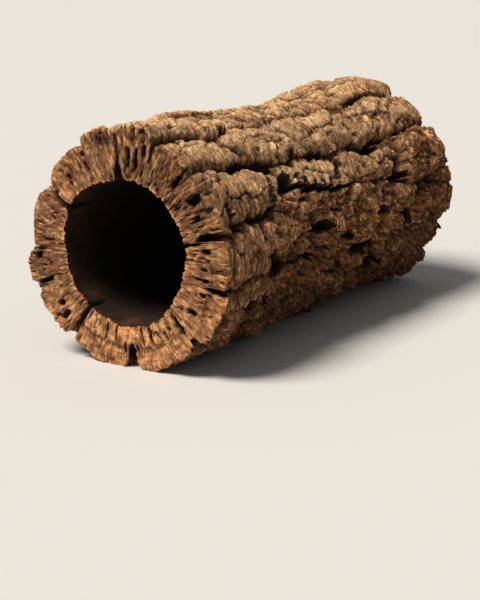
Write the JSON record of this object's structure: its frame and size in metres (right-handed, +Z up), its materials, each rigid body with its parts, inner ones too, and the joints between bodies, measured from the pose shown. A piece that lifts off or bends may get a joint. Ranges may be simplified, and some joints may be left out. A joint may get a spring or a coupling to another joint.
{
  "type": "cork branch",
  "caption": "Hollow tube of thick virgin cork bark, sawn across at both ends, with deep fissures and stacked lumps outside and a round bore right through; lies on its side.",
  "frame": {"origin": "on the surface that the branch rests on, under the middle of its bounding box", "axes": "+Y along the branch from its front sawn end to its back end, +Z up, +X to the right of someone who looks into the front end"},
  "size_m": [0.1546, 0.31, 0.1543],
  "materials": {
    "cork_bark": "rough weathered bark"
  },
  "bodies": {
    "root": {"cork_branch": "cork_bark"}
  },
  "joints": []
}
